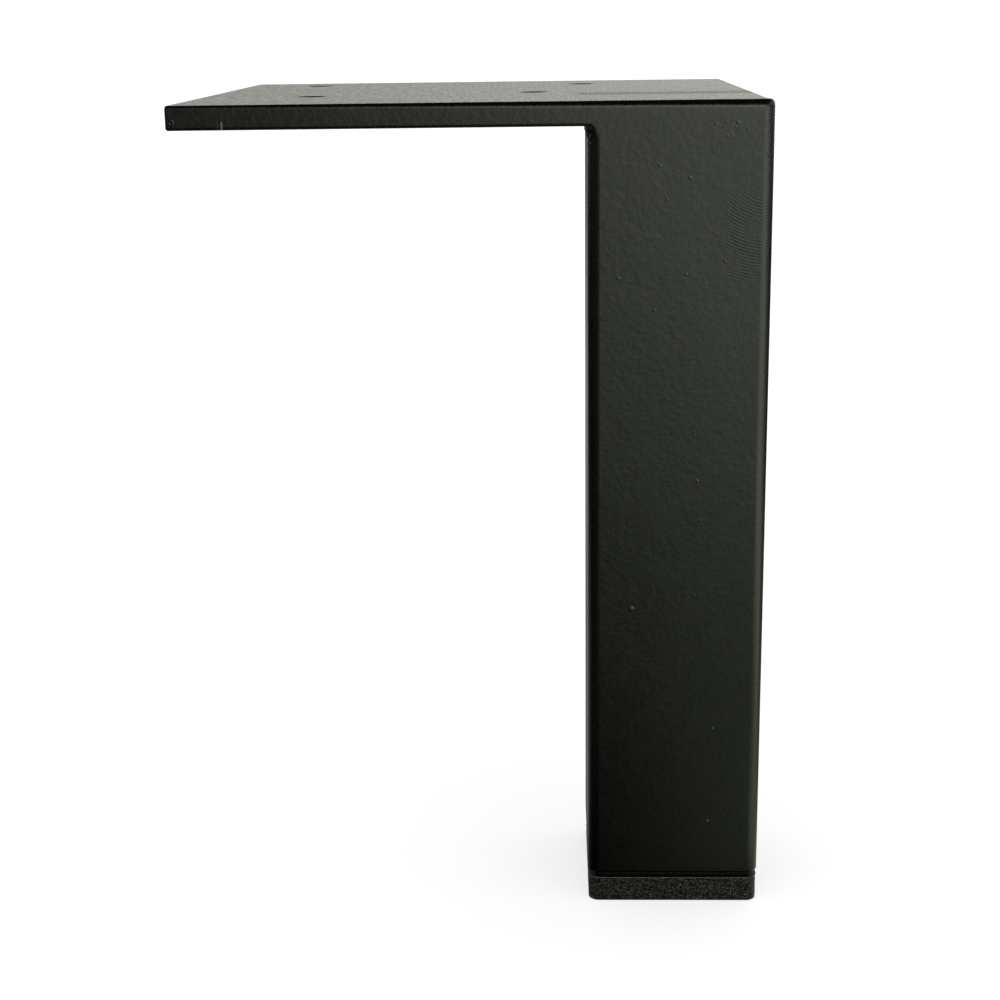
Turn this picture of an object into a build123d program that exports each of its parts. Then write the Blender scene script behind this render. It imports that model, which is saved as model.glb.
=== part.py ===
"""Square furniture leg: a screw-on plate, a square tube welded under one corner and a push-in foot.

Millimetres, +Z up. The origin is the centre of the plate's top face, +X runs to the right and +Y to the back.
The tube stands under the plate's front right corner.
"""

import os

from build123d import *

# Whole leg, from the plate's top face to the underside of the foot
overall_height = 140.0

# Mounting plate
plate_side = 98.0
plate_thickness = 4.0
plate_edge_round = 0.4
ground_edge_round = 1.4

# Screw holes, mirrored about the plate's diagonal through the tube
screw_hole_diameter = 5.0
corner_hole_margin = 15.0
side_hole_margin = 20.0
side_hole_setback = 30.0
inner_hole_clearance = 9.0

# Square tube, bent from strip
tube_side = 30.0
tube_wall = 1.5
tube_bend_radius = 0.5

# Slim fillet weld on the tube's two inner faces: its reach along the plate, its drop down the tube and its bulge
weld_reach = 0.5
weld_drop = 2.4
weld_crown = 0.1
# Degrees that both its ends run on round the tube's corners
weld_end_turn = 75

# Foot insert: flange, shoulder and lamella plug
flange_height = 4.6
flange_lip_round = 0.25
foot_edge_round = 0.9
shoulder_height = 0.8
plug_length = 18.0
plug_wall = 2.0
plug_floor = 2.0
plug_core_gap = 1.0
lamella_count = 4
lamella_height = 1.8
lamella_clearance = 0.1
lamella_corner_relief = 2.0

# Heights, from the plate's top face down
plate_underside = -plate_thickness
foot_underside = -overall_height
flange_top = foot_underside + flange_height
tube_end = flange_top + shoulder_height

# Places and sizes that several pieces share
plate_edge = plate_side / 2
tube_corner_radius = tube_bend_radius + tube_wall
tube_bore = tube_side - 2 * tube_wall
tube_inner_face = plate_edge - tube_side
leg_axis = Plane((plate_edge - tube_side / 2, tube_side / 2 - plate_edge, 0))

# Mounting plate: flush with the tube at its front and right edges
corner_hole = plate_edge - corner_hole_margin
side_hole_far = plate_edge - side_hole_margin
side_hole_near = plate_edge - side_hole_setback
inner_hole = tube_inner_face - inner_hole_clearance
screw_holes = [
    (-corner_hole, corner_hole),
    (-side_hole_far, -side_hole_near),
    (side_hole_near, side_hole_far),
    (inner_hole, -inner_hole),
]

with BuildPart() as mounting_plate:
    with BuildSketch():
        Rectangle(plate_side, plate_side)
    extrude(amount=-plate_thickness)
    # The corner over the tube is ground to the tube's own rounding
    right_corners = mounting_plate.edges().filter_by(Axis.Z).group_by(Axis.X)[-1]
    fillet(right_corners.sort_by(Axis.Y)[0], tube_corner_radius)
    # The top edges over the tube's flush sides are ground round
    top_edges = mounting_plate.faces().sort_by(Axis.Z)[-1].edges()
    front_edge = top_edges.filter_by(Axis.X).sort_by(Axis.Y)[0]
    right_edge = top_edges.filter_by(Axis.Y).sort_by(Axis.X)[-1]
    corner_edge = top_edges.filter_by(GeomType.CIRCLE)
    fillet(corner_edge + [front_edge, right_edge], ground_edge_round)
    # The two free sides have a small broken edge all round
    left_side = mounting_plate.faces().filter_by(Axis.X).sort_by(Axis.X)[0]
    back_side = mounting_plate.faces().filter_by(Axis.Y).sort_by(Axis.Y)[-1]
    fillet(left_side.edges() + back_side.edges(), plate_edge_round)
    with Locations(*screw_holes):
        Hole(screw_hole_diameter / 2)

mounting_plate.part.label = "mounting_plate"

# Square tube: its upper end is closed by the plate, its lower end by the foot
with BuildPart() as square_tube:
    with BuildSketch(leg_axis.offset(plate_underside)):
        RectangleRounded(tube_side, tube_side, tube_corner_radius)
        RectangleRounded(tube_bore, tube_bore, tube_bend_radius, mode=Mode.SUBTRACT)
    extrude(amount=tube_end - plate_underside)

square_tube.part.label = "square_tube"

# Fillet weld: follows the tube's outline round both inner faces, and is ground off level with the flush sides
bend_near = plate_edge - tube_corner_radius
bend_far = tube_inner_face + tube_corner_radius
quarter_turn = 90
half_turn = 2 * quarter_turn

with BuildPart() as fillet_weld:
    with BuildLine(Plane.XY.offset(plate_underside)) as weld_run:
        CenterArc((bend_far, -bend_near), tube_corner_radius, half_turn + weld_end_turn, -weld_end_turn)
        Line((tube_inner_face, -bend_near), (tube_inner_face, -bend_far))
        CenterArc((bend_far, -bend_far), tube_corner_radius, half_turn, -quarter_turn)
        Line((bend_far, -tube_inner_face), (bend_near, -tube_inner_face))
        CenterArc((bend_near, -bend_far), tube_corner_radius, quarter_turn, -weld_end_turn)
    run_heading = weld_run.line % 0
    away_from_tube = Axis.Z.direction.cross(run_heading)
    with BuildSketch(Plane(weld_run.line @ 0, x_dir=away_from_tube, z_dir=run_heading)):
        with BuildLine():
            Line((0, -weld_drop), (0, 0))
            Line((0, 0), (weld_reach, 0))
            SagittaArc((weld_reach, 0), (0, -weld_drop), weld_crown)
        make_face()
    sweep(path=weld_run.line)
    split(bisect_by=Plane.XZ.offset(plate_edge), keep=Keep.BOTTOM)
    split(bisect_by=Plane.YZ.offset(plate_edge), keep=Keep.BOTTOM)

fillet_weld.part.label = "fillet_weld"

# Foot insert: one moulding, pushed up into the tube until the tube's end sits on the shoulder
shoulder_side = tube_side - tube_wall
shoulder_radius = tube_corner_radius - tube_wall / 2
core_side = tube_bore - 2 * plug_core_gap
cavity_side = core_side - 2 * plug_wall
lamella_reach = tube_bore - 2 * lamella_clearance
lamella_width = core_side - 2 * lamella_corner_relief
lamella_pitch = plug_length / lamella_count
plug_top = tube_end + plug_length

with BuildPart() as foot_insert:
    with BuildSketch(leg_axis.offset(foot_underside)):
        RectangleRounded(tube_side, tube_side, tube_corner_radius)
    extrude(amount=flange_height)
    fillet(foot_insert.faces().sort_by(Axis.Z)[0].edges(), foot_edge_round)
    fillet(foot_insert.faces().sort_by(Axis.Z)[-1].edges(), flange_lip_round)
    with BuildSketch(leg_axis.offset(flange_top)):
        RectangleRounded(shoulder_side, shoulder_side, shoulder_radius)
    extrude(amount=shoulder_height)
    with BuildSketch(leg_axis.offset(tube_end)):
        RectangleRounded(core_side, core_side, tube_bend_radius)
    extrude(amount=plug_length)
    # Barbed lamellae on all four sides, open at the corners so that they can bend
    for level in range(lamella_count):
        lamella_base = tube_end + level * lamella_pitch + (lamella_pitch - lamella_height) / 2
        for turn in (0, quarter_turn):
            side_axis = leg_axis.rotated((0, 0, turn))
            with BuildSketch(side_axis.offset(lamella_base)):
                Rectangle(lamella_reach, lamella_width)
            with BuildSketch(side_axis.offset(lamella_base + lamella_height)):
                Rectangle(core_side, lamella_width)
            loft()
    # The plug is hollow, open at the top
    with BuildSketch(leg_axis.offset(plug_top)):
        RectangleRounded(cavity_side, cavity_side, tube_bend_radius)
    extrude(amount=plug_floor - plug_length, mode=Mode.SUBTRACT)

foot_insert.part.label = "foot_insert"

# One STEP file for each piece
os.makedirs("parts", exist_ok=True)
for piece in (mounting_plate, square_tube, fillet_weld, foot_insert):
    export_step(piece.part, f"parts/{piece.part.label}.step")
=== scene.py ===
"""Square furniture leg, dressed: powder-coated plate, tube and weld, and a stippled plastic foot.

Metres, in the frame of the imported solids. The origin is the centre of the plate's top face, +X runs to the
right, +Y to the back and +Z up. The tube stands under the plate's front right corner.
"""

import math
from contextlib import contextmanager

import bmesh
import bpy
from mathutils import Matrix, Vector


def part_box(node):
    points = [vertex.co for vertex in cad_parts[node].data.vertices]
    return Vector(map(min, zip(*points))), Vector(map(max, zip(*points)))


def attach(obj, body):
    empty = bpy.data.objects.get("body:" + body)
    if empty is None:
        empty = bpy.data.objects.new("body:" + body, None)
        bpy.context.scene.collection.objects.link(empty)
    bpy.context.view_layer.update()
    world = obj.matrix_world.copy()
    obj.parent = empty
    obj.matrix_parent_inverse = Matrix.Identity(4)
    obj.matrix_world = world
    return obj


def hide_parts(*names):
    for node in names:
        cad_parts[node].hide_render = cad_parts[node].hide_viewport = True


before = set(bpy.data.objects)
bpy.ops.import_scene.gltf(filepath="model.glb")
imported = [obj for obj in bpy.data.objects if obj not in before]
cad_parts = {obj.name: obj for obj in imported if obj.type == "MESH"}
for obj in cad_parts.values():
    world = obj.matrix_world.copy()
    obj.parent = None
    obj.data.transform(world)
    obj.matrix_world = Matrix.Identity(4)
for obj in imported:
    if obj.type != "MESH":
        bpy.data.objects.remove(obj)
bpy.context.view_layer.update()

MM = 0.001
MICRON = 0.001 * MM
NEAR = MICRON
X, Y, Z = 0, 1, 2

# Where the solids are
plate_low, plate_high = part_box("mounting_plate")
tube_low, tube_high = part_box("square_tube")
foot_low, foot_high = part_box("foot_insert")
left, front, plate_underside = plate_low
right, back, plate_top = plate_high
inner_left, inner_back = tube_low.x, tube_high.y
leg_axis = (tube_low + tube_high) / 2
tube_side = right - inner_left
tube_end = tube_low.z
floor_height = foot_low.z

# Plate: rounded edges and screw holes
ground_edge_round = 1.5 * MM
thin_end_share = 0.4
right_edge_share = 0.6
plate_edge_round = 0.4 * MM
underside_round = 0.55 * MM
underside_run_out = 0.02 * MM
screw_hole_radius = 2.5 * MM
hole_rim_round = 0.4 * MM
screw_holes = [(-34 * MM, 34 * MM), (-29 * MM, -19 * MM), (19 * MM, 29 * MM), (10 * MM, -10 * MM)]

# Tube, bent from strip
tube_wall = 1.5 * MM
tube_corner_radius = 2.0 * MM
tube_end_round = 0.5 * MM

# Slim fillet weld on the tube's two inner faces, and the flush ends that the grinder leaves
weld_reach = 0.3 * MM
weld_drop = 2.4 * MM
weld_hollow = 0.16
weld_lump = 0.8 * MM
weld_lump_size = 0.6 * MM
weld_end_round = 0.25 * MM
weld_toe = 0.05 * MM
ground_end_width = 3.2 * MM
ground_end_drop = 3.5 * MM
ground_end_hollow = 0.155
ground_end_round = 0.45 * MM
ground_end_overlap = 0.3 * MM

# Foot: flange, shoulder and lamella plug
flange_height = 4.6 * MM
foot_edge_round = 0.4 * MM
flange_lip_round = 0.22 * MM
shoulder_height = 0.8 * MM
shoulder_recess = 1.2 * MM
plug_wall = 2.0 * MM
plug_floor = 2.0 * MM
plug_core_gap = 1.0 * MM
plug_corner_radius = 0.5 * MM
lamella_count = 4
lamella_height = 1.8 * MM
lamella_clearance = 0.1 * MM
lamella_corner_relief = 2.0 * MM
stipple_depth = 0.3 * MM
stipple_grain = 0.42 * MM
stipple_pitch = 0.13 * MM

# Larger nibs under the coat on the tube's front: millimetres across, down from the plate's top, and radius
front_nibs = [(30.6, 10.3, 0.35), (35.5, 12.3, 0.4), (31.8, 15.7, 0.3), (41.3, 25.8, 0.3), (24, 28.4, 0.35),
              (35, 27.8, 0.3), (37.3, 62.5, 0.3), (26.5, 85, 0.55), (40.6, 107, 0.3), (40, 124.5, 0.35)]

# Traces of the work on the coat: places across, and heights below the plate's top
sanding_centre_height = -8.0 * MM
sanding_pitch = 0.5 * MM
sanded_heights = (-28.0 * MM, -16.0 * MM)
rubbed_heights = (-9.0 * MM, -2.0 * MM)
grit_across = (39.5 * MM, 45.5 * MM)
grit_heights = (-6.5 * MM, -3.3 * MM)
spatter_across = (inner_left - 1.0 * MM, inner_left + 0.8 * MM)
spatter_heights = (-7.0 * MM, -4.2 * MM)
chip_across = (-39.95 * MM, -39.7 * MM)
groove_across = (-40.4 * MM, -40.2 * MM)
bubble_place = (-48.0 * MM, front, -2.7 * MM)

# Colours of the coat and the plastic, and paler greys: the coat's wear and painted highlights, the plastic's
# painted highlights
coat_black = (0.0005, 0.00055, 0.00045)
wear_and_highlight_grey = (0.09, 0.092, 0.085)
plastic_black = (0.001, 0.0011, 0.0009)
stipple_highlight_grey = (0.28, 0.305, 0.24)

# Camera: lens, place and turns in degrees
LENS = 65.19
CAMERA_PLACE = (13.63 * MM, -344.26 * MM, 12.78 * MM)
CAMERA_TURNS = (75.124, 0.747, 1.639)

# Steps along rounded edges, angles, and the brightest glow in the studio
CORNER_STEPS = 14
EDGE_STEPS = 8
SMALL_STEPS = 4
FOLD_ANGLE = math.radians(3)
SMOOTH_ANGLE = math.radians(35)
QUARTER_TURN = math.radians(90)
BRIGHTEST = 3.0


# Modelling by hand

@contextmanager
def bench(piece):
    """Edit mode on one piece, with nothing picked."""
    make_active(piece)
    bpy.ops.object.mode_set(mode="EDIT")
    bpy.ops.mesh.select_all(action="DESELECT")
    yield
    bpy.ops.object.mode_set(mode="OBJECT")


def make_active(piece):
    """Selects one piece and nothing else."""
    bpy.ops.object.select_all(action="DESELECT")
    piece.select_set(True)
    bpy.context.view_layer.objects.active = piece


def on(axis, place):
    """A test that a point lies on the plane across an axis at a place."""
    return lambda p: abs(p[axis] - place) < NEAR


def between(axis, low, high):
    """A test that a point lies between two places along an axis."""
    return lambda p: low - NEAR < p[axis] < high + NEAR


def both(*tests):
    """A test that a point passes every one of several tests."""
    return lambda p: all(test(p) for test in tests)


def tube_gap(p):
    """How far a point stands off the tube's outer faces, looking along the tube."""
    flat = tube_side / 2 - tube_corner_radius
    x, y = (max(abs(p[axis] - leg_axis[axis]) - flat, 0.0) for axis in (X, Y))
    return math.hypot(x, y) - tube_corner_radius


def pick(piece, kind, *tests, folded=False, facing=None):
    """Picks the points, edges or faces that lie wholly in one of several places.

    Edges may be limited to folds, and faces to those whose normal passes a test.
    """
    bpy.ops.mesh.select_mode(type=kind)
    bpy.ops.mesh.select_all(action="DESELECT")
    mesh = bmesh.from_edit_mesh(piece.data)
    for part in {"VERT": mesh.verts, "EDGE": mesh.edges, "FACE": mesh.faces}[kind]:
        points = [part.co] if kind == "VERT" else [corner.co for corner in part.verts]
        if not any(all(test(p) for p in points) for test in tests):
            continue
        if folded and part.calc_face_angle(0.0) < FOLD_ANGLE:
            continue
        if facing and not facing(part.normal):
            continue
        part.select_set(True)
    mesh.select_flush_mode()
    bmesh.update_edit_mesh(piece.data)


def group_picked():
    """Keeps the picked points as a group."""
    bpy.ops.object.vertex_group_add()
    bpy.ops.object.vertex_group_assign()


def bevel(width, steps, **settings):
    """Rounds the picked edges."""
    bpy.ops.mesh.bevel(offset=width, segments=steps, affect="EDGES", **settings)


def hollow_out(steps, profile):
    """Cuts the picked corner of a sheet away to a hollow that reaches its two neighbours."""
    bpy.ops.mesh.bevel(offset_type="PERCENT", offset_pct=99, segments=steps, profile=profile,
                       affect="VERTICES")


def extrude(x, y, z):
    """Draws the picked faces out."""
    bpy.ops.mesh.extrude_region_move(TRANSFORM_OT_translate={"value": (x, y, z)})


def round_over(radius, steps):
    """Draws the picked face out along its normal in a quarter round."""
    for step in range(steps):
        this, following = (QUARTER_TURN * s / steps for s in (step, step + 1))
        inward = radius * (math.cos(this) - math.cos(following))
        outward = radius * (math.sin(following) - math.sin(this))
        bpy.ops.mesh.inset(thickness=inward, depth=outward)


def stand_up(place):
    """Turns a level sheet upright and moves it to its place."""
    bpy.ops.mesh.select_all(action="SELECT")
    bpy.ops.transform.rotate(value=QUARTER_TURN, orient_axis="X", center_override=(0, 0, 0))
    bpy.ops.transform.translate(value=place)


def face_outwards():
    """Turns every face to point outwards."""
    bpy.ops.mesh.select_all(action="SELECT")
    bpy.ops.mesh.normals_make_consistent(inside=False)


def cut_across(axis, place, **settings):
    """Cuts the picked faces along the plane across an axis."""
    normal = [0, 0, 0]
    normal[axis] = 1
    bpy.ops.mesh.bisect(plane_co=[place * n for n in normal], plane_no=normal, threshold=NEAR, **settings)


def add_block(name, low, high):
    """A block between two corners, with its place in its mesh."""
    bpy.ops.object.select_all(action="DESELECT")
    bpy.ops.mesh.primitive_cube_add(size=1.0, location=(low + high) / 2, scale=high - low)
    return settle(name)


def add_sheet(name, centre, width, depth):
    """A level rectangle, with its place in its mesh."""
    bpy.ops.object.select_all(action="DESELECT")
    bpy.ops.mesh.primitive_plane_add(size=1.0, location=centre)
    bpy.context.object.scale = (width, depth, 1.0)
    return settle(name)


def settle(name):
    """Names the new piece and puts its place and size in its mesh."""
    piece = bpy.context.object
    piece.name = piece.data.name = name
    bpy.ops.object.transform_apply(location=True, rotation=True, scale=True)
    return piece


def apply_modifier(piece, kind, **settings):
    """Adds a modifier to a piece and applies it."""
    make_active(piece)
    modifier = piece.modifiers.new(kind.lower(), kind)
    for name, value in settings.items():
        setattr(modifier, name, value)
    bpy.ops.object.modifier_apply(modifier=modifier.name)


def roughen(piece, depth, grain, middle):
    """Moves the points of a piece's first group in and out by a cloudy pattern."""
    pattern = bpy.data.textures.new(piece.name, "CLOUDS")
    pattern.noise_scale = grain
    pattern.noise_basis = "ORIGINAL_PERLIN"
    pattern.noise_depth = 2
    apply_modifier(piece, "DISPLACE", texture=pattern, texture_coords="LOCAL", strength=depth,
                   mid_level=middle, vertex_group=piece.vertex_groups[0].name)


def drill(piece, x, y, radius):
    """Cuts one upright round hole through a piece."""
    bpy.ops.object.select_all(action="DESELECT")
    bpy.ops.mesh.primitive_cylinder_add(vertices=64, radius=radius, depth=50 * MM, location=(x, y, 0))
    bit = bpy.context.object
    apply_modifier(piece, "BOOLEAN", operation="DIFFERENCE", solver="EXACT", object=bit)
    bpy.data.objects.remove(bit, do_unlink=True)


def smooth(piece):
    """Rounded edges shade smoothly, and flat faces stay flat beside them."""
    make_active(piece)
    bpy.ops.object.shade_smooth_by_angle(angle=SMOOTH_ANGLE)
    apply_modifier(piece, "WEIGHTED_NORMAL", mode="FACE_AREA", keep_sharp=True)


# Pieces

def make_plate():
    """The mounting plate: ground round over the tube, broken edges elsewhere, four screw holes."""
    plate = add_block("coated_plate", plate_low, plate_high)
    flush = tube_corner_radius
    free_front = inner_left + tube_corner_radius - ground_end_overlap
    free_right = inner_back - tube_corner_radius + ground_end_overlap
    with bench(plate):
        # The corner over the tube
        pick(plate, "EDGE", both(on(X, right), on(Y, front)))
        bevel(tube_corner_radius, CORNER_STEPS)
        # The top edges over the tube's flush sides, ground less and less towards the left
        flush_side = lambda p: p.y < front + flush + NEAR or p.x > right - flush - NEAR
        pick(plate, "EDGE", both(on(Z, plate_top), flush_side))
        bevel(ground_edge_round, EDGE_STEPS)
        pick(plate, "VERT", both(on(X, left), between(Y, front, front + ground_edge_round),
                                 between(Z, plate_top - ground_edge_round, plate_top)))
        bpy.ops.transform.resize(value=(1, thin_end_share, thin_end_share),
                                 center_override=(left, front, plate_top))
        # The corner and the right edge are ground less than the front
        for step in range(CORNER_STEPS + 1):
            turn = QUARTER_TURN * step / CORNER_STEPS
            share = 1 - (1 - right_edge_share) * step / CORNER_STEPS
            outward = Vector((math.sin(turn), -math.cos(turn), 0))
            along = Vector((math.cos(turn), math.sin(turn), 0))
            bend = Vector((right - flush, front + flush, plate_top))
            rim = bend + flush * outward
            close = lambda p: (p - rim).length < 1.5 * ground_edge_round
            pick(plate, "VERT", both(close, lambda p: abs((p - bend).dot(along)) < NEAR))
            bpy.ops.transform.resize(value=(share, share, share), center_override=rim)
        pick(plate, "VERT", both(on(Y, back), between(X, right - ground_edge_round, right),
                                 between(Z, plate_top - ground_edge_round, plate_top)))
        bpy.ops.transform.resize(value=(right_edge_share, 1, right_edge_share),
                                 center_override=(right, back, plate_top))
        # The broken edges: all round the two free sides, and along the underside as far as the weld
        cuts = [(X, free_front), (X, free_front + underside_run_out)]
        cuts += [(Y, free_right), (Y, free_right - underside_run_out)]
        cuts += [(Z, plate_underside + 1.2 * underside_round)]
        for axis, place in cuts:
            pick(plate, "FACE", on(Y, front), on(X, right))
            cut_across(axis, place)
        pick(plate, "EDGE", both(on(Z, plate_underside), on(Y, front), between(X, left, free_front)),
             both(on(Z, plate_underside), on(X, right), between(Y, free_right, back)), folded=True)
        bevel(underside_round, EDGE_STEPS, clamp_overlap=False)
        pick(plate, "EDGE", on(X, left), on(Y, back), folded=True)
        bevel(plate_edge_round, SMALL_STEPS, clamp_overlap=False)
    for x, y in screw_holes:
        drill(plate, x, y, screw_hole_radius)
    with bench(plate):
        reach = screw_hole_radius + NEAR
        at_hole = lambda p: any(math.hypot(p.x - x, p.y - y) < reach for x, y in screw_holes)
        pick(plate, "EDGE", both(on(Z, plate_top), at_hole), both(on(Z, plate_underside), at_hole))
        bevel(hole_rim_round, SMALL_STEPS)
    smooth(plate)
    return plate


def make_tube():
    """The square tube: rounded corners, open at both ends, its lower rim a little rounded."""
    tube = add_block("coated_tube", tube_low, tube_high)
    with bench(tube):
        corners = [(x, y) for x in (inner_left, right) for y in (front, inner_back)]
        pick(tube, "EDGE", *(both(on(X, x), on(Y, y)) for x, y in corners))
        bevel(tube_corner_radius, CORNER_STEPS)
        pick(tube, "FACE", on(Z, plate_underside), on(Z, tube_end))
        bpy.ops.mesh.inset(thickness=tube_wall, use_individual=True)
        bpy.ops.mesh.bridge_edge_loops()
        bore_reach = tube_side / 2 - tube_wall
        outside = lambda p: max(abs(p.x - leg_axis.x), abs(p.y - leg_axis.y)) > bore_reach + NEAR
        pick(tube, "EDGE", both(on(Z, tube_end), outside), folded=True)
        bevel(tube_end_round, SMALL_STEPS)
    smooth(tube)
    return tube


def grind_ends():
    """The weld's two ends: ground flush with plate and tube, their free edges hollow and rounded."""
    top = plate_underside + 2 * underside_round
    height = top - plate_underside + ground_end_drop
    inner_edge = inner_left + tube_corner_radius + ground_end_overlap
    middle = Vector((inner_edge - ground_end_width / 2, front + NEAR, top - height / 2))
    end = add_sheet("ground_end", (0, 0, 0), ground_end_width, height)
    with bench(end):
        stand_up(middle)
        pick(end, "VERT", lambda p: p.x < middle.x and p.z < middle.z)
        hollow_out(CORNER_STEPS, ground_end_hollow)
        bpy.ops.mesh.select_all(action="SELECT")
        extrude(0, 2 * ground_end_round, 0)
        face_outwards()
        hollow = lambda p: p.x < middle.x + 0.49 * ground_end_width and p.z < middle.z + 0.49 * height
        pick(end, "EDGE", both(on(Y, middle.y), hollow))
        bevel(ground_end_round, EDGE_STEPS, clamp_overlap=False)
        # The weld's other end is its mirror image on the right side
        bpy.ops.mesh.select_all(action="SELECT")
        bpy.ops.mesh.duplicate()
        bpy.ops.transform.resize(value=(-1, 1, 1), center_override=(right, front, 0))
        bpy.ops.transform.rotate(value=-QUARTER_TURN, orient_axis="Z", center_override=(right, front, 0))
        face_outwards()
    return end


def make_weld():
    """The fillet weld: a lumpy bead round the tube's two inner faces, ground level with the flush sides."""
    weld = add_sheet("coated_weld", (0, 0, 0), weld_reach, weld_drop)
    start = Vector((inner_left - weld_reach / 2, front + tube_corner_radius, plate_underside - weld_drop / 2))
    near_left_bend = (inner_left + tube_corner_radius, front + tube_corner_radius, 0)
    far_bend = (inner_left + tube_corner_radius, inner_back - tube_corner_radius, 0)
    near_right_bend = (right - tube_corner_radius, inner_back - tube_corner_radius, 0)
    run = inner_back - front - 2 * tube_corner_radius
    run_steps = 100
    bend_steps = 16
    end_turn = math.radians(86)
    with bench(weld):
        # The section stands upright at the start of its run, its free corner cut to a shallow hollow
        stand_up(start)
        pick(weld, "VERT", lambda p: p.x < start.x and p.z < start.z)
        hollow_out(EDGE_STEPS, weld_hollow)
        # Along the left face, round the inner corner and along the back face
        bpy.ops.mesh.select_all(action="SELECT")
        for step in range(run_steps):
            extrude(0, run / run_steps, 0)
        bpy.ops.mesh.spin(steps=bend_steps, angle=QUARTER_TURN, center=far_bend, axis=(0, 0, 1))
        pick(weld, "FACE", on(X, far_bend[X]))
        for step in range(run_steps):
            extrude(run / run_steps, 0, 0)
        bpy.ops.mesh.spin(steps=bend_steps, angle=end_turn, center=near_right_bend, axis=(0, 0, 1))
        pick(weld, "FACE", on(Y, start.y))
        bpy.ops.mesh.spin(steps=bend_steps, angle=-end_turn, center=near_left_bend, axis=(0, 0, 1))
        face_outwards()
        # Only the crown is lumpy: the faces on the plate and the tube stay where they meet them
        crown = lambda p: p.z < plate_underside - weld_toe and tube_gap(p) > weld_toe
        inside = lambda p: p.y > front + weld_lump_size and p.x < right - weld_lump_size
        pick(weld, "VERT", both(crown, inside))
        group_picked()
    roughen(weld, weld_lump, weld_lump_size, middle=0.5)
    with bench(weld):
        # Ground off level with the plate's front and right sides, the rims a little rounded
        for axis, place, side in ((Y, front, "clear_inner"), (X, right, "clear_outer")):
            bpy.ops.mesh.select_all(action="SELECT")
            cut_across(axis, place, use_fill=True, **{side: True})
        rim = lambda p: p.z < plate_underside - NEAR and tube_gap(p) > weld_toe
        pick(weld, "EDGE", both(on(Y, front), rim), both(on(X, right), rim), folded=True)
        bevel(weld_end_round, SMALL_STEPS)
    ends = grind_ends()
    make_active(weld)
    ends.select_set(True)
    bpy.ops.object.join()
    smooth(weld)
    return weld


def make_flange():
    """The foot's flange and shoulder: a stippled moulding with rounded lower edges and a crisp lip."""
    outline_level = floor_height + foot_edge_round + NEAR
    straight = flange_height - foot_edge_round - flange_lip_round - NEAR
    levels = round(straight / stipple_pitch)
    corner_steps = 24
    side_cuts = round((tube_side - 2 * tube_corner_radius) / stipple_pitch)
    flange = add_sheet("foot", (leg_axis.x, leg_axis.y, outline_level), tube_side, tube_side)
    with bench(flange):
        bpy.ops.mesh.select_all(action="SELECT")
        bpy.ops.mesh.bevel(offset=tube_corner_radius, segments=corner_steps, affect="VERTICES")
        bpy.ops.mesh.select_mode(type="EDGE")
        pick(flange, "EDGE", on(X, inner_left), on(X, right), on(Y, front), on(Y, inner_back))
        bpy.ops.mesh.subdivide(number_cuts=1)
        bpy.ops.mesh.subdivide(number_cuts=side_cuts // 2)
        bpy.ops.mesh.select_all(action="SELECT")
        for level in range(levels):
            extrude(0, 0, straight / levels)
        face_outwards()
        pick(flange, "FACE", on(Z, outline_level + straight))
        round_over(flange_lip_round, SMALL_STEPS)
        bpy.ops.mesh.inset(thickness=shoulder_recess - flange_lip_round)
        extrude(0, 0, shoulder_height)
        pick(flange, "FACE", on(Z, outline_level))
        round_over(foot_edge_round, EDGE_STEPS)
        # The stipple covers the sides and the rounded lower edge, and leaves the lip crisp
        lip = floor_height + flange_height
        pick(flange, "VERT", between(Z, floor_height + stipple_pitch, lip - stipple_pitch))
        group_picked()
    roughen(flange, stipple_depth, stipple_grain, middle=1.0)
    return flange


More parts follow.
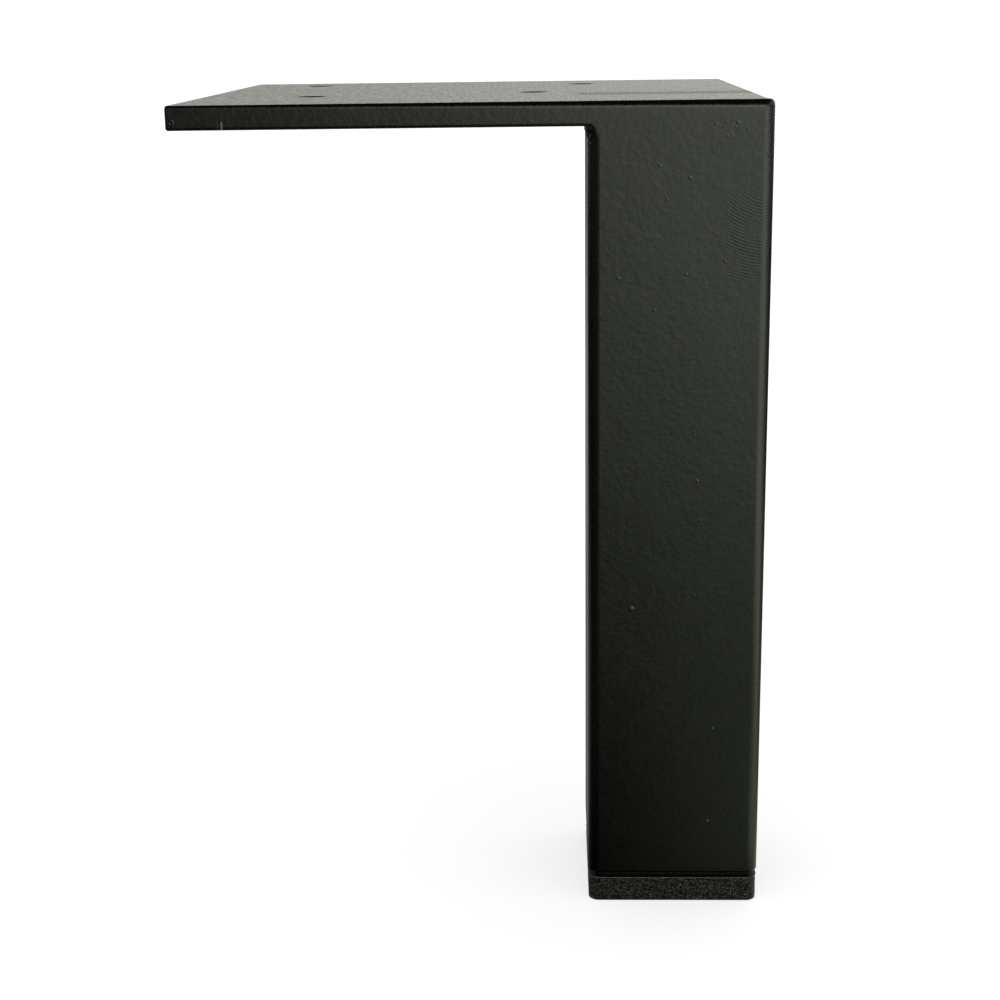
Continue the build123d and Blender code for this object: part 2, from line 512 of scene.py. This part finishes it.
def make_plug():
    """The foot's plug: a hollow core with four rows of barbed lamellae that grip the tube's bore."""
    core_half = tube_side / 2 - tube_wall - plug_core_gap
    blade_half = core_half - lamella_corner_relief
    reach = plug_core_gap - lamella_clearance
    plug_length = foot_high.z - tube_end
    pitch = plug_length / lamella_count
    bases = [tube_end + (level + 0.5) * pitch - lamella_height / 2 for level in range(lamella_count)]
    core = Vector((core_half, core_half, 0))
    plug = add_block("plug", leg_axis.xy.to_3d() - core + Vector((0, 0, tube_end)),
                     leg_axis.xy.to_3d() + core + Vector((0, 0, foot_high.z)))
    sides = [(axis, side) for axis in (X, Y) for side in (-1, 1)]
    with bench(plug):
        pick(plug, "FACE", on(Z, foot_high.z))
        bpy.ops.mesh.inset(thickness=plug_wall)
        extrude(0, 0, plug_floor - plug_length)
        pick(plug, "EDGE", *(both(on(X, leg_axis.x + x), on(Y, leg_axis.y + y))
                             for x in (-core_half, core_half) for y in (-core_half, core_half)))
        bevel(plug_corner_radius, SMALL_STEPS)
        # Each blade's outline is cut into the core's sides
        flat_half = core_half - plug_corner_radius
        outer = lambda p: max(abs(p.x - leg_axis.x), abs(p.y - leg_axis.y)) > flat_half - NEAR
        upright = lambda n: abs(n.z) < 0.5
        cuts = [(Z, base + rise) for base in bases for rise in (0, lamella_height)]
        cuts += [(axis, leg_axis[axis] + side * blade_half) for axis, side in sides]
        for axis, place in cuts:
            pick(plug, "FACE", outer, facing=upright)
            cut_across(axis, place)
        # The blades are drawn out of the core, and their upper edges pushed back to it
        blades = [both(on(axis, leg_axis[axis] + side * core_half), between(Z, base, base + lamella_height),
                       between(1 - axis, leg_axis[1 - axis] - blade_half, leg_axis[1 - axis] + blade_half))
                  for axis, side in sides for base in bases]
        pick(plug, "FACE", *blades)
        bpy.ops.mesh.extrude_region_shrink_fatten(TRANSFORM_OT_shrink_fatten={"value": reach})
        for axis, side in sides:
            tips = on(axis, leg_axis[axis] + side * (core_half + reach))
            pick(plug, "VERT", *(both(tips, on(Z, base + lamella_height)) for base in bases))
            back_to_core = [0, 0, 0]
            back_to_core[axis] = -side * reach
            bpy.ops.transform.translate(value=back_to_core)
        bpy.ops.mesh.select_all(action="SELECT")
        bpy.ops.mesh.remove_doubles(threshold=NEAR)
        face_outwards()
    return plug


def make_foot():
    """The foot insert: flange and plug are one moulding."""
    foot = make_flange()
    plug = make_plug()
    make_active(foot)
    plug.select_set(True)
    bpy.ops.object.join()
    foot.name = foot.data.name = "stippled_foot"
    smooth(foot)
    return foot


# Finishes

class Wire:
    """A socket in a node tree. Arithmetic on it adds Math nodes, and add() puts in any other node."""

    def __init__(self, tree, socket=None):
        self.tree = tree
        self.socket = socket

    def add(self, kind, settings=None, sockets=None, output=0):
        """A new node: its settings are set first, then its sockets' values or links."""
        node = self.tree.nodes.new(kind)
        for name, value in (settings or {}).items():
            setattr(node, name, value)
        for name, value in (sockets or {}).items():
            if isinstance(value, Wire):
                self.tree.links.new(value.socket, node.inputs[name])
            else:
                node.inputs[name].default_value = value
        return Wire(self.tree, node.outputs[output] if node.outputs else None)

    def maths(self, operation, first, second=0.0):
        """One Math node."""
        return self.add("ShaderNodeMath", {"operation": operation}, {0: first, 1: second})

    def __add__(self, other):
        return self.maths("ADD", self, other)

    def __radd__(self, other):
        return self.maths("ADD", other, self)

    def __sub__(self, other):
        return self.maths("SUBTRACT", self, other)

    def __rsub__(self, other):
        return self.maths("SUBTRACT", other, self)

    def __mul__(self, other):
        return self.maths("MULTIPLY", self, other)

    def __rmul__(self, other):
        return self.maths("MULTIPLY", other, self)

    def split(self):
        """The three parts of a place."""
        return [self.add("ShaderNodeSeparateXYZ", {}, {"Vector": self}, output=axis) for axis in (X, Y, Z)]

    def ease(self, low, high):
        """0 below one value, 1 above another, eased between."""
        return self.add("ShaderNodeMapRange", {"interpolation_type": "SMOOTHSTEP"},
                        {"Value": self, "From Min": low, "From Max": high, "To Min": 0.0, "To Max": 1.0})

    def stretch(self, shares):
        """A place with its three parts multiplied by shares."""
        return self.add("ShaderNodeVectorMath", {"operation": "MULTIPLY"}, {0: self, 1: shares})

    def noise(self, size, detail=2.0, distortion=0.0):
        """Cloudy noise over a place, from 0 to 1, with lumps of a given size."""
        return self.add("ShaderNodeTexNoise", {}, {"Vector": self, "Scale": 1.0 / size, "Detail": detail,
                                                   "Roughness": 0.5, "Distortion": distortion})

    def specks(self, spacing, radius):
        """1 at the middle of scattered round specks, 0 outside them."""
        distance = self.add("ShaderNodeTexVoronoi", {"feature": "F1"},
                            {"Vector": self, "Scale": 1.0 / spacing}, output="Distance")
        return 1.0 - distance.ease(0.0, radius / spacing)

    def spot(self, centre, radius):
        """1 at one place, 0 beyond a radius from it."""
        return 1.0 - self.distance(centre).ease(0.0, radius)

    def band(self, low, high, soft):
        """1 between two values, 0 outside them, eased over a soft margin."""
        return self.ease(low - soft, low) * (1.0 - self.ease(high, high + soft))

    def waves(self, pitch):
        """A rise and fall between -1 and 1 that repeats at a pitch."""
        return self.maths("SINE", self * (2 * math.pi / pitch))

    def distance(self, centre):
        """How far a place is from a point."""
        return self.add("ShaderNodeVectorMath", {"operation": "DISTANCE"}, {0: self, 1: centre},
                        output="Value")

    def tint(self, dark, light):
        """A colour between two, by a value from 0 to 1."""
        return self.add("ShaderNodeMix", {"data_type": "RGBA"},
                        {"Factor": self, 6: (*dark, 1.0), 7: (*light, 1.0)}, output=2)


def start_finish(name):
    """A new material with an empty node tree: gives it, its tree and the place on the object."""
    material = bpy.data.materials.new(name)
    material.use_nodes = True
    material.node_tree.nodes.clear()
    place = Wire(material.node_tree).add("ShaderNodeTexCoord", output="Object")
    return material, place


def end_finish(place, height, sockets):
    """Closes a finish: a relief in micrometres under a surface with these sockets."""
    relief = place.add("ShaderNodeBump", {}, {"Strength": 1.0, "Distance": MICRON, "Height": height})
    surface = place.add("ShaderNodeBsdfPrincipled", {}, {**sockets, "Normal": relief})
    place.add("ShaderNodeOutputMaterial", {}, {"Surface": surface})


def powder_coat():
    """Powder coat: satin black, with faint orange peel, nibs, sanding marks and traces of the work, and
    painted highlights on its nibs, grit and spatter.
    """
    material, place = start_finish("powder_coat")
    x, y, z = place.split()
    mottle = place.noise(3.0 * MM, 3.0)
    # A fine grain, drawn out to the back on the plate's top, and blotchy there towards the left
    on_top = z.ease(-0.3 * MM, 0.0)
    drawn_out = place.stretch((1.0, 0.1, 1.0))
    even_grain = place.noise(0.45 * MM)
    grain = even_grain + (drawn_out.noise(0.45 * MM) - even_grain) * on_top
    blotches = (drawn_out.noise(0.8 * MM) - 0.5) * on_top * x.ease(45 * MM, -30 * MM)
    height = 90.0 * place.noise(22 * MM, 1.0) + 36.0 * place.noise(6 * MM, 1.0)
    height += 36.0 * place.noise(0.9 * MM, 2.0) + 9.0 * place.noise(0.3 * MM, 2.0)
    height += 60.0 * place.specks(6.5 * MM, 0.3 * MM)
    # The larger nibs on the tube's front
    nibs = 0.0
    for across, down, size in front_nibs:
        nibs += place.spot((across * MM, front, plate_top - down * MM), size * MM)
    height += 75.0 * nibs
    # Sanding arcs near the tube's upper right corner
    arcs = place.distance((right, front, sanding_centre_height)).waves(sanding_pitch)
    sanded = x.ease(right - 9 * MM, right - 6 * MM) * z.band(*sanded_heights, 2 * MM)
    rubbed = x.ease(right - 5 * MM, right - 2 * MM) * z.band(*rubbed_heights, 1 * MM)
    height += 9.0 * arcs * (sanded + rubbed) * mottle.ease(0.4, 0.6)
    gritty = x.band(*grit_across, 1 * MM) * z.band(*grit_heights, 0.5 * MM)
    grit = (0.5 * place.specks(0.8 * MM, 0.3 * MM) + place.specks(2.1 * MM, 0.5 * MM)) * gritty
    height += 60.0 * grit
    # Spatter beside the weld
    beside_weld = x.band(*spatter_across, 0.3 * MM) * z.band(*spatter_heights, 0.3 * MM)
    spatter = place.specks(0.6 * MM, 0.35 * MM) * beside_weld
    height += 120.0 * spatter
    # The coat is duller along the tube's back wall
    wall = inner_back - tube_wall
    over_wall = y.band(wall, wall, 9 * MM) * x.band(inner_left, right, 3 * MM) * z.ease(-1 * MM, 0.0)
    # A chip in the plate's front edge, and a bubble near its end
    low_front = z.ease(-2.4 * MM, -2.9 * MM) * y.ease(front + 1 * MM, front + 0.5 * MM)
    chip = x.band(*chip_across, 0.12 * MM) * low_front
    groove = x.band(*groove_across, 0.15 * MM) * low_front
    bubble = place.distance(bubble_place)
    height += 40.0 * bubble.band(0.3 * MM, 0.4 * MM, 0.15 * MM) - 120.0 * groove
    # The base colour is paler at random over the coat and at the chip, which is wear; on the spatter, grit
    # and nibs the paler colour is painted highlight.
    wear_and_highlights = (mottle * 0.06 + chip + 0.6 * spatter + 0.6 * grit + 0.5 * nibs).ease(0.0, 1.0)
    end_finish(place, height, {
        "Base Color": wear_and_highlights.tint(coat_black, wear_and_highlight_grey),
        "Roughness": 0.14 + 0.1 * mottle + 0.2 * grain + 0.22 * blotches + 0.1 * over_wall,
        "IOR": 1.5,
    })
    return material


def moulded_plastic():
    """Moulded plastic: black with a dull grain, with painted highlights on the peaks of its stipple and along
    its lip.
    """
    material, place = start_finish("moulded_plastic")
    z = place.split()[Z]
    lip = floor_height + flange_height
    # Painted highlights: paler streaks over the stipple below the lip, and a thin paler line on the lip's
    # rounding where it catches light from above.
    painted_glint_streaks = place.noise(0.27 * MM, 2.0, 2.5).ease(0.57, 0.64) * z.ease(lip, lip - 0.1 * MM)
    edge = z.band(lip - 0.2 * MM, lip - 0.06 * MM, 0.04 * MM) * (0.25 + 0.4 * place.noise(0.4 * MM))
    pale = (painted_glint_streaks * 0.65 + edge).ease(0.0, 1.2)
    height = 90.0 * place.noise(0.27 * MM, 2.0, 1.0) + 6.0 * place.noise(0.1 * MM, 2.0)
    end_finish(place, height, {
        "Base Color": pale.tint(plastic_black, stipple_highlight_grey),
        "Roughness": 0.40 + 0.1 * painted_glint_streaks,
        "IOR": 1.38,
    })
    return material


# Studio

MIRRORED_ONLY = ("camera", "diffuse", "transmission", "volume_scatter", "shadow")
SEEN_ONLY = ("glossy", "diffuse", "transmission", "volume_scatter", "shadow")


def matt_floor():
    """A pale floor that stays white behind the leg and keeps a soft shadow."""
    material, place = start_finish("pale_floor")
    rays = ("Camera", "Glossy", "Transmission")
    seen = [place.add("ShaderNodeLightPath", output=f"Is {ray} Ray") for ray in rays]
    plain = place.add("ShaderNodeBsdfDiffuse", {}, {"Color": (0.8, 0.8, 0.8, 1.0)})
    shaded = place.add("ShaderNodeBsdfDiffuse", {}, {"Color": (0.4, 0.4, 0.4, 1.0)})
    white = place.add("ShaderNodeEmission", {}, {"Color": (1, 1, 1, 1), "Strength": 0.64})
    lifted = place.add("ShaderNodeAddShader", {}, {0: shaded, 1: white})
    surface = place.add("ShaderNodeMixShader", {}, {0: seen[0] + seen[1] + seen[2], 1: plain, 2: lifted})
    place.add("ShaderNodeOutputMaterial", {}, {"Surface": surface})
    return material


def glow(name, colour, paint):
    """A glowing finish. Its brightness is painted over the place."""
    material, place = start_finish(name)
    brightness = (1.0 / BRIGHTEST) * paint(*place.split())
    painted = brightness.tint((0, 0, 0), [BRIGHTEST * part for part in colour])
    surface = place.add("ShaderNodeEmission", {}, {"Color": painted, "Strength": 1.0})
    place.add("ShaderNodeOutputMaterial", {}, {"Surface": surface})
    return material


def set_up(piece, finish, hidden=MIRRORED_ONLY):
    """Puts a piece in the studio, hidden from some kinds of ray. Most pieces show only in the coat."""
    piece.data.materials.append(finish)
    for ray in hidden:
        setattr(piece, f"visible_{ray}", False)


def lay_card(name, low, high, colour, paint):
    """A card on the floor between two corners, for the coat to mirror."""
    lift = 0.05 * MM
    centre = ((low[X] + high[X]) / 2, (low[Y] + high[Y]) / 2, floor_height + lift)
    set_up(add_sheet(name, centre, high[X] - low[X], high[Y] - low[Y]), glow(name, colour, paint))


def hang_panel(name, centre, width, height, turn, colour, paint, hidden=MIRRORED_ONLY):
    """An upright glowing panel, turned about the vertical."""
    bpy.ops.object.select_all(action="DESELECT")
    bpy.ops.mesh.primitive_plane_add(size=1.0, location=centre, rotation=(QUARTER_TURN, 0, turn))
    bpy.context.object.scale = (width, height, 1.0)
    set_up(settle(name), glow(name, colour, paint), hidden)


def hang_key():
    """A wide overhead light for the floor and the shadow."""
    lamp = bpy.data.lights.new("overhead_light", "SUN")
    lamp.energy = 3.5
    lamp.angle = math.radians(120)
    key = bpy.data.objects.new("overhead_light", lamp)
    key.visible_glossy = False
    bpy.context.scene.collection.objects.link(key)


def front_glow(x, y, z):
    """The floor in front: dark before the foot, paler away from it, bright to the right of it."""
    away = 0.0 - y
    near = 0.05 - 0.05 * x.ease(-0.03, 0.01) + 0.36 * x.ease(0.012, 0.065)
    far = (0.05 + 1.0 * x.ease(-0.17, 0.25)) * away.ease(0.05, 0.75)
    patch = 1.3 * x.ease(0.09, 0.22) * y.ease(-0.8, -0.3) * (away - 0.4 * x).ease(-0.05, 0.05)
    beside_foot = 0.7 * x.ease(0.052, 0.066) * y.ease(-0.12, -0.07)
    return near * away.ease(0.051, 0.064) + far + patch + beside_foot


def softbox_glow(x, y, z):
    """The softbox in front, to the right: brighter to the right, and at its top only near the leg."""
    across = 0.22 + 1.2 * x.ease(-0.3, 0.2) + 0.5 * x.ease(0.05, 0.3)
    upper = z.ease(0.25, 0.6)
    beside = x.ease(0.25, 0.5)
    near_leg = 1.08 + 1.2 * upper * (1.0 - beside)
    off_leg = 1.0 - 0.5 * z.ease(0.2, 0.5) * beside
    return across * near_leg * off_leg + x.ease(0.9, 1.3)


def back_glow(x, y, z):
    """The card behind the leg: a little brighter to the right."""
    return 0.78 + 0.22 * x.ease(-0.5, 0.4)


def left_glow(x, y, z):
    """The floor on the left: dim, and paler towards the back beside the leg."""
    return 0.01 + (0.26 * y.ease(-0.06, 0.0) + 0.2 * y.ease(0.0, 0.5)) * x.ease(-0.3, -0.05)


def right_glow(x, y, z):
    """The floor on the right: brightest beside the leg's front, and fading towards the back."""
    return 0.3 - 0.24 * y.ease(-0.02, 0.2) + 0.5 * y.ease(-0.02, -0.045)


def even(level):
    """The same brightness all over."""
    return lambda x, y, z: level + 0.0 * x


def set_studio():
    """Floor, backdrop, softbox, cards, side panels, lamp and the dim room around them."""
    set_up(add_sheet("studio_floor", (0, 0, floor_height), 100.0, 100.0), matt_floor(), hidden=())
    white, pale_green, green, warm = (1, 1, 1), (0.95, 1, 0.87), (0.88, 1, 0.76), (1, 0.88, 0.72)
    hang_panel("white_backdrop", (0, 8.0, 2.0), 40.0, 4.3, 0.0, white, even(1.05), hidden=())
    # Plain white all round, for the camera alone
    for name, x, y in (("left", -1, 0), ("right", 1, 0), ("front", 0, -1), ("back", 0, 1)):
        place = (5.0 * x, 5.0 * y, 5.0)
        hang_panel(f"{name}_surround", place, 10.0, 10.3, x * QUARTER_TURN, white, even(1.05),
                   hidden=SEEN_ONLY)
    hang_panel("back_card", (0, 2.5, 0.6), 8.0, 2.0, 0.0, (1, 1, 0.93), back_glow)
    hang_panel("front_softbox", (0.65, -1.3, 0.48), 2.0, 1.24, 0.0, pale_green, softbox_glow)
    # Cards on the floor, in front of the foot and on both sides of it
    foot_line = front + foot_edge_round
    lay_card("front_card", (-6.0, -6.0), (6.0, foot_line), green, front_glow)
    lay_card("left_card", (-6.0, foot_line), (inner_left, 6.0), white, left_glow)
    lay_card("right_card", (right, foot_line), (6.0, 6.0), warm, right_glow)
    for name, side in (("left_panel", -1), ("right_panel", 1)):
        hang_panel(name, (2.5 * side, 0, 1.7), 3.0, 2.0, QUARTER_TURN, white, even(0.8))
    hang_key()
    world = bpy.data.worlds.new("dim_room")
    world.use_nodes = True
    world.node_tree.nodes["Background"].inputs["Color"].default_value = (0.01, 0.01, 0.01, 1.0)
    bpy.context.scene.world = world
    bpy.context.scene.view_settings.view_transform = "Standard"


def place_camera():
    """The camera stands a little above the plate's top, near the tube, and looks down."""
    lens = bpy.data.cameras.new("camera")
    lens.lens = LENS
    lens.sensor_width = 36.0
    camera = bpy.data.objects.new("camera", lens)
    camera.location = CAMERA_PLACE
    camera.rotation_euler = [math.radians(turn) for turn in CAMERA_TURNS]
    lens.clip_start = 10 * MM
    bpy.context.scene.collection.objects.link(camera)
    bpy.context.scene.camera = camera


# The dressed leg

coat = powder_coat()
plastic = moulded_plastic()
for make, node, finish, slot in (
    (make_plate, "mounting_plate", coat, "satin_black_coat"),
    (make_tube, "square_tube", coat, "satin_black_coat"),
    (make_weld, "fillet_weld", coat, "satin_black_coat"),
    (make_foot, "foot_insert", plastic, "black_foot_plastic"),
):
    piece = make()
    piece.data.materials.clear()
    piece.data.materials.append(finish)
    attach(piece, "root")
    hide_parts(node)

set_studio()
place_camera()
